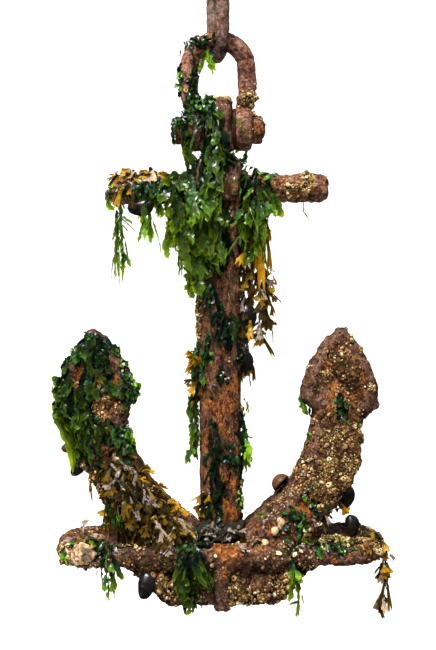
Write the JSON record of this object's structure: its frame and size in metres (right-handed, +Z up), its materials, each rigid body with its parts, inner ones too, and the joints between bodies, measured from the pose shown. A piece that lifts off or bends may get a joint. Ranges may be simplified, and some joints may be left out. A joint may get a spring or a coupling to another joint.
{
  "type": "barnacled anchor",
  "caption": "Rusted stocked anchor with pivoted head, hanging by its shackle from a chain link and overgrown with weed, barnacles and mussels; moors or decorates.",
  "frame": {"origin": "inside of the chain link's upper bend, where the chain bears", "axes": "+Z up along the shank, +X along the stock to the bolt's nut, -Y out of the front face"},
  "size_m": [0.4917, 0.1635, 0.9527],
  "materials": {
    "iron_link": "rusted and pitted, orange scale over dark brown",
    "iron_shackle": "rusted and pitted, orange scale over dark brown",
    "iron_fastener": "rusted and pitted, orange scale over dark brown",
    "iron_shank": "rusted and pitted, orange scale over dark brown",
    "iron_stock": "rusted and pitted, orange scale over dark brown",
    "iron_casting": "rusted and pitted, orange scale over dark brown",
    "green_weed": "wet, glossy, thin and translucent",
    "brown_weed": "wet, leathery",
    "barnacle_crust": "matt chalky shell",
    "pale_shell": "matt ridged shell",
    "mussel_shell": "dark satin shell",
    "packed_silt": "damp grit"
  },
  "bodies": {
    "chain": {"chain_link": "iron_link"},
    "shackle_body": {"shackle": "iron_shackle", "shackle_bolt": "iron_fastener", "shackle_nut": "iron_fastener", "weed_shackle_leg": "green_weed", "barnacles_shackle": "barnacle_crust"},
    "anchor_body": {"shank": "iron_shank", "stock": "iron_stock", "stock_key": "iron_fastener", "head": "iron_casting", "crown_pin": "iron_fastener", "keeper_pin_left": "iron_fastener", "keeper_pin_right": "iron_fastener", "silt_pocket_front": "packed_silt", "silt_pocket_back": "packed_silt", "shell_palm_left": "pale_shell", "shell_arm_right": "pale_shell", "mussel_shank_upper": "mussel_shell", "mussel_shank_lower": "mussel_shell", "mussel_stock": "mussel_shell", "mussel_arm_left_low": "mussel_shell", "mussel_arm_left_high": "mussel_shell", "mussel_crown": "mussel_shell", "mussel_arm_right": "mussel_shell", "mussel_palm_right": "mussel_shell", "weed_shank_top": "green_weed", "weed_stock_left": "green_weed", "weed_stock_right": "green_weed", "weed_ribbon": "green_weed", "weed_stock_end_left": "green_weed", "weed_stock_mid_left": "green_weed", "fucus_stock_left": "brown_weed", "fucus_shank_right": "brown_weed", "weed_shank_left": "green_weed", "weed_shank_front": "green_weed", "weed_shank_right": "green_weed", "weed_fluke_left": "green_weed", "fucus_arm_left": "brown_weed", "weed_palm_left": "green_weed", "fucus_palm_left": "brown_weed", "weed_crown_left": "green_weed", "weed_fluke_right": "green_weed", "weed_palm_right": "green_weed", "weed_strand_right": "green_weed", "fucus_palm_right": "brown_weed", "barnacles_stock": "barnacle_crust", "barnacles_shank": "barnacle_crust", "barnacles_fluke_right": "barnacle_crust", "barnacles_arm_right": "barnacle_crust", "barnacles_palm_right": "barnacle_crust", "barnacles_palm_left": "barnacle_crust", "barnacles_crown_left": "barnacle_crust", "barnacles_rib_left": "barnacle_crust", "barnacles_rib_right": "barnacle_crust", "barnacles_crown_right": "barnacle_crust", "limpets_arm_root": "pale_shell"}
  },
  "joints": [
    {"name": "shackle_swing", "type": "hinge", "parent": "chain", "child": "shackle_body", "pos_m": [0, 0, -0.109], "axis": [-0.225, 0.9744, 0], "range_deg": [-60, 60]},
    {"name": "anchor_swing", "type": "hinge", "parent": "shackle_body", "child": "anchor_body", "pos_m": [0, 0, -0.219], "axis": [1, 0, 0], "range_deg": [-90, 90]}
  ]
}
